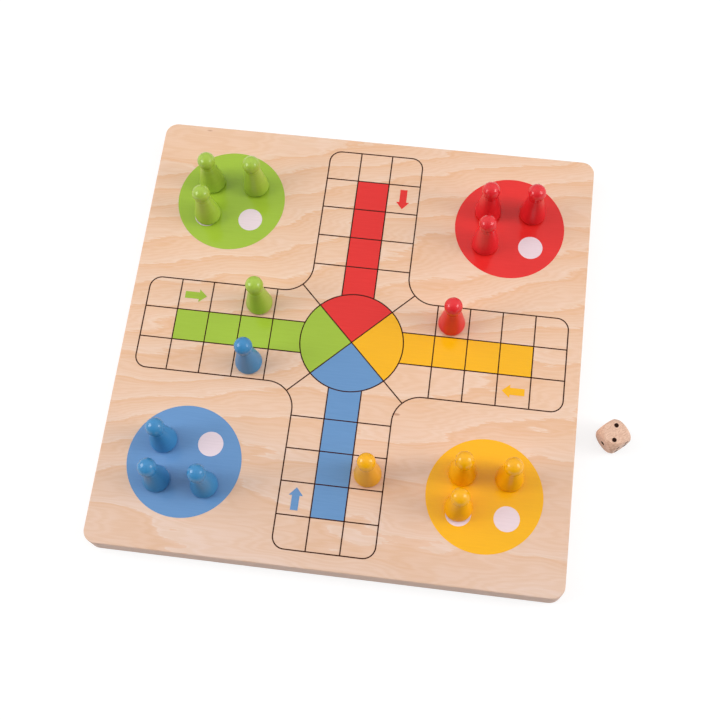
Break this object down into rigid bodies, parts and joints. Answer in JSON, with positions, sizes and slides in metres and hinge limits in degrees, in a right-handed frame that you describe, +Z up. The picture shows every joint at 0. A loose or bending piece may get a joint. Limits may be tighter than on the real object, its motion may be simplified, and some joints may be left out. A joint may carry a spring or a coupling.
{
  "type": "ludo board",
  "caption": "Square wooden ludo board with a printed cross track and home discs, with turned wooden pawns standing on it and a wooden die beside it.",
  "frame": {"origin": "middle of the board's flat underside, where it rests on the table", "axes": "+X to the right and +Y to the back of the board as pictured, +Z up through the board"},
  "size_m": [0.3198, 0.286, 0.0513],
  "materials": {
    "plywood": "satin lacquer",
    "line_ink": "satin screen print",
    "white_ink": "satin screen print",
    "red_ink": "satin screen print",
    "yellow_ink": "satin screen print",
    "blue_ink": "satin screen print",
    "green_ink": "satin screen print",
    "red_paint": "gloss paint on turned wood",
    "yellow_paint": "gloss paint on turned wood",
    "blue_paint": "gloss paint on turned wood",
    "green_paint": "gloss paint on turned wood",
    "die_wood": "fine sanded",
    "pip_paint": "satin paint"
  },
  "bodies": {
    "board": {"board": "plywood", "track_lines": "line_ink", "red_print": "red_ink", "yellow_print": "yellow_ink", "blue_print": "blue_ink", "green_print": "green_ink", "white_spots": "white_ink"},
    "red_pawn_1": {"red_pawn_1": "red_paint"},
    "red_pawn_2": {"red_pawn_2": "red_paint"},
    "red_pawn_3": {"red_pawn_3": "red_paint"},
    "red_pawn_4": {"red_pawn_4": "red_paint"},
    "yellow_pawn_1": {"yellow_pawn_1": "yellow_paint"},
    "yellow_pawn_2": {"yellow_pawn_2": "yellow_paint"},
    "yellow_pawn_3": {"yellow_pawn_3": "yellow_paint"},
    "yellow_pawn_4": {"yellow_pawn_4": "yellow_paint"},
    "blue_pawn_1": {"blue_pawn_1": "blue_paint"},
    "blue_pawn_2": {"blue_pawn_2": "blue_paint"},
    "blue_pawn_3": {"blue_pawn_3": "blue_paint"},
    "blue_pawn_4": {"blue_pawn_4": "blue_paint"},
    "green_pawn_1": {"green_pawn_1": "green_paint"},
    "green_pawn_2": {"green_pawn_2": "green_paint"},
    "green_pawn_3": {"green_pawn_3": "green_paint"},
    "green_pawn_4": {"green_pawn_4": "green_paint"},
    "die": {"die": "die_wood", "die_pips": "pip_paint"}
  },
  "joints": [
    {"name": "red_pawn_1_lift", "type": "slide", "parent": "board", "child": "red_pawn_1", "axis": [0, 0, 1], "range_m": [0, 0.06]},
    {"name": "red_pawn_2_lift", "type": "slide", "parent": "board", "child": "red_pawn_2", "axis": [0, 0, 1], "range_m": [0, 0.06]},
    {"name": "red_pawn_3_lift", "type": "slide", "parent": "board", "child": "red_pawn_3", "axis": [0, 0, 1], "range_m": [0, 0.06]},
    {"name": "red_pawn_4_lift", "type": "slide", "parent": "board", "child": "red_pawn_4", "axis": [0, 0, 1], "range_m": [0, 0.06]},
    {"name": "yellow_pawn_1_lift", "type": "slide", "parent": "board", "child": "yellow_pawn_1", "axis": [0, 0, 1], "range_m": [0, 0.06]},
    {"name": "yellow_pawn_2_lift", "type": "slide", "parent": "board", "child": "yellow_pawn_2", "axis": [0, 0, 1], "range_m": [0, 0.06]},
    {"name": "yellow_pawn_3_lift", "type": "slide", "parent": "board", "child": "yellow_pawn_3", "axis": [0, 0, 1], "range_m": [0, 0.06]},
    {"name": "yellow_pawn_4_lift", "type": "slide", "parent": "board", "child": "yellow_pawn_4", "axis": [0, 0, 1], "range_m": [0, 0.06]},
    {"name": "blue_pawn_1_lift", "type": "slide", "parent": "board", "child": "blue_pawn_1", "axis": [0, 0, 1], "range_m": [0, 0.06]},
    {"name": "blue_pawn_2_lift", "type": "slide", "parent": "board", "child": "blue_pawn_2", "axis": [0, 0, 1], "range_m": [0, 0.06]},
    {"name": "blue_pawn_3_lift", "type": "slide", "parent": "board", "child": "blue_pawn_3", "axis": [0, 0, 1], "range_m": [0, 0.06]},
    {"name": "blue_pawn_4_lift", "type": "slide", "parent": "board", "child": "blue_pawn_4", "axis": [0, 0, 1], "range_m": [0, 0.06]},
    {"name": "green_pawn_1_lift", "type": "slide", "parent": "board", "child": "green_pawn_1", "axis": [0, 0, 1], "range_m": [0, 0.06]},
    {"name": "green_pawn_2_lift", "type": "slide", "parent": "board", "child": "green_pawn_2", "axis": [0, 0, 1], "range_m": [0, 0.06]},
    {"name": "green_pawn_3_lift", "type": "slide", "parent": "board", "child": "green_pawn_3", "axis": [0, 0, 1], "range_m": [0, 0.06]},
    {"name": "green_pawn_4_lift", "type": "slide", "parent": "board", "child": "green_pawn_4", "axis": [0, 0, 1], "range_m": [0, 0.06]},
    {"name": "die_lift", "type": "slide", "parent": "board", "child": "die", "axis": [0, 0, 1], "range_m": [0, 0.06]}
  ]
}
